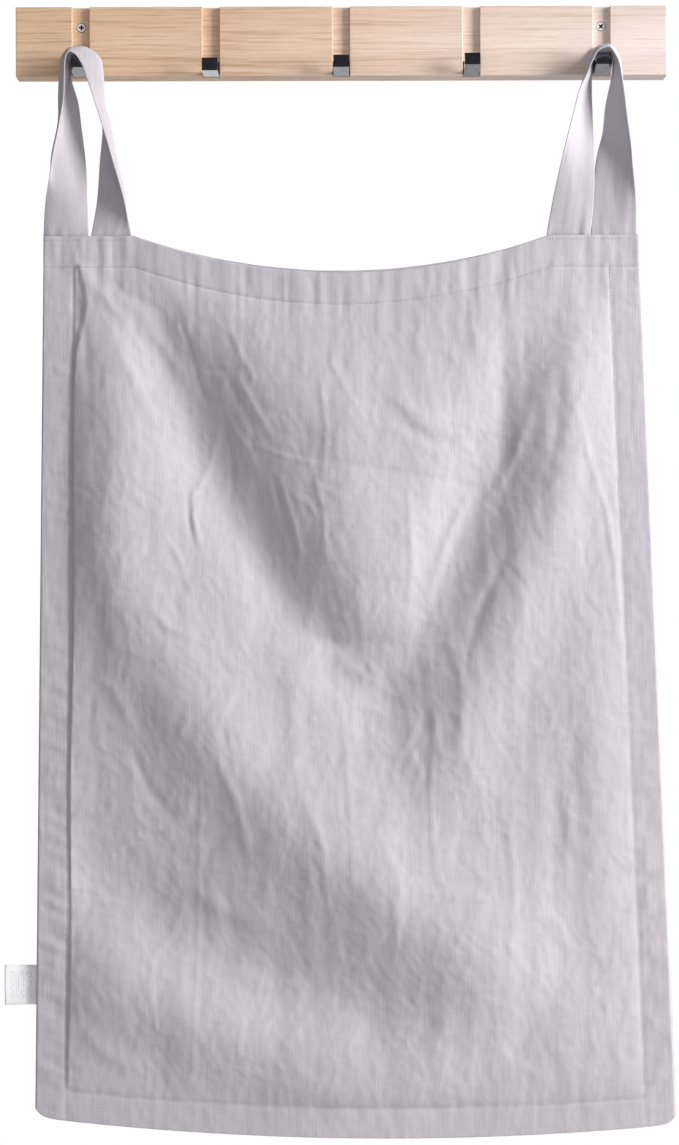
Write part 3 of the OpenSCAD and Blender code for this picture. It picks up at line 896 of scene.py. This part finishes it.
seam_rows = []
for at, stations in ((hook_x[0], LEFT_STRAP), (hook_x[4], RIGHT_STRAP)):
    for station in (stations[0], stations[-1]):
        ends = sorted((station[0][0], station[-1][0]))
        xr = np.linspace(at + (ends[0] + 2) * MM, at + (ends[1] - 2) * MM, 60)
        seam_rows.append(stitch_row(on_front(xr, xr * 0 + SEAM_Z - 4 * MM), *SEAM_STITCH))
strap_rows = dress(joined("strap_stitches", seam_rows), seam_thread)
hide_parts("strap_stitching")

# ---------- care label ----------

lu, lv = np.meshgrid(np.linspace(0, 1, 34), np.linspace(0, 1, 30))
lx = label_lo.x + lu * (label_hi.x - label_lo.x)
lz = label_lo.z + lv * (label_hi.z - label_lo.z) + 1.2 * MM * (1 - lu) * np.sin(2.2 * lv)
ly = (label_lo.y + label_hi.y) / 2 - (1 - lu) ** 2 * (1.6 + 1.2 * np.sin(3.1 * lv)) * MM
ly += 0.25 * MM * noise(lx, lz, 9 * MM, 14 * MM, 61)
idx = np.arange(lu.size).reshape(lu.shape)
quads = np.stack([idx[:-1, :-1], idx[:-1, 1:], idx[1:, 1:], idx[1:, :-1]], axis=-1)
quads = quads.reshape(-1, 4)
label = make("care_tag", np.stack([lx, ly, lz], axis=-1).reshape(-1, 3), quads.tolist())
thicken(label, SATIN, 0.0)
dress(label, label_satin)
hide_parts("care_label")

# ---------- what each piece rides on ----------

for piece in (front, back, border, top_band, border_rows, top_rows, strap_rows, label):
    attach(piece, "skirt")
for piece in (strap_l, strap_r):
    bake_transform(piece)

# ---------- floor, light and camera ----------

corners = [(-1.6, -2.2), (1.6, -2.2), (1.6, 0.8), (-1.6, 0.8)]
floor = make("floor", [(x, y, FLOOR_Z) for x, y in corners], [(0, 1, 2, 3)], smooth=False)
floor_mat, floor_tree = material("pale_floor")
fn = Nodes(floor_tree)
fn.surface(fn.ramp(fn.noise(fn.coords((1, 1, 1)), 2.0), [(0.3, (0.80, 0.80, 0.81)),
                                                         (0.7, (0.84, 0.84, 0.85))]), 0.8)
dress(floor, floor_mat)

world = bpy.data.worlds.new("studio")
bpy.context.scene.world = world
world.use_nodes = True
wt = world.node_tree
wt.nodes.clear()
w = Nodes(wt)
ray = w.add("ShaderNodeLightPath")
backdrop = w.add("ShaderNodeBackground")
backdrop.inputs["Color"].default_value = (1, 1, 1, 1)
backdrop.inputs["Strength"].default_value = 1.0
ambient = w.add("ShaderNodeBackground")
ambient.inputs["Color"].default_value = (0.96, 0.97, 1.0, 1)
ambient.inputs["Strength"].default_value = 0.14
room = w.add("ShaderNodeBackground")
gen = w.add("ShaderNodeTexCoord")
sep = w.add("ShaderNodeSeparateXYZ")
w.link(gen.outputs["Generated"], sep.inputs[0])
up = w.math("ADD", w.math("MULTIPLY", sep.outputs[2], 0.5), 0.5)
shade = w.ramp(up, [(0.10, (0.38, 0.38, 0.39)), (0.235, (0.54, 0.54, 0.55)),
                    (0.366, (0.74, 0.74, 0.75)), (0.46, (0.74, 0.74, 0.75)),
                    (0.54, (0.05, 0.05, 0.055)), (1.0, (0.04, 0.04, 0.045))])
w.link(shade, room.inputs["Color"])
room.inputs["Strength"].default_value = 1.6
mix_a = w.add("ShaderNodeMixShader")
mix_b = w.add("ShaderNodeMixShader")
w.link(ray.outputs["Is Glossy Ray"], mix_a.inputs[0])
w.link(ambient.outputs[0], mix_a.inputs[1])
w.link(room.outputs[0], mix_a.inputs[2])
w.link(ray.outputs["Is Camera Ray"], mix_b.inputs[0])
w.link(mix_a.outputs[0], mix_b.inputs[1])
w.link(backdrop.outputs[0], mix_b.inputs[2])
out = w.add("ShaderNodeOutputWorld")
w.link(mix_b.outputs[0], out.inputs["Surface"])


def soft_light(name, at, aim, size, power, colour=(1, 1, 1)):
    data = bpy.data.lights.new(name, "AREA")
    data.shape = "RECTANGLE"
    data.size, data.size_y = size
    data.energy = power
    data.color = colour
    obj = bpy.data.objects.new(name, data)
    bpy.context.scene.collection.objects.link(obj)
    obj.location = at
    obj.rotation_euler = (Vector(aim) - Vector(at)).to_track_quat("-Z", "Y").to_euler()
    return obj


soft_light("key", (2.5, -1.08, 0.42), (0, 0, -0.46), (0.9, 1.6), 130, (1.0, 0.985, 0.98))
fill = soft_light("fill", (-0.6, -2.2, -0.2), (0, 0, -0.5), (1.0, 1.2), 4.5, (0.96, 0.97, 1.0))
shelf = soft_light("shelf", (-0.08, -0.62, 0.36), (-0.02, 0, 0), (0.9, 0.2), 1.0)
rear = soft_light("rear", (-0.9, 2.2, 0.4), (0, 0, -0.5), (1.4, 1.4), 26)
fill.visible_glossy = shelf.visible_glossy = rear.visible_glossy = False

camera_data = bpy.data.cameras.new("camera")
camera_data.sensor_fit = "VERTICAL"
camera_data.sensor_height = 36
camera_data.lens = 57.99
camera = bpy.data.objects.new("camera", camera_data)
bpy.context.scene.collection.objects.link(camera)
camera.location = (-0.0028, -1.718, -0.4899)
camera.rotation_euler = (math.radians(90), math.radians(0.15), 0)
bpy.context.scene.camera = camera
bpy.context.scene.view_settings.view_transform = "Standard"
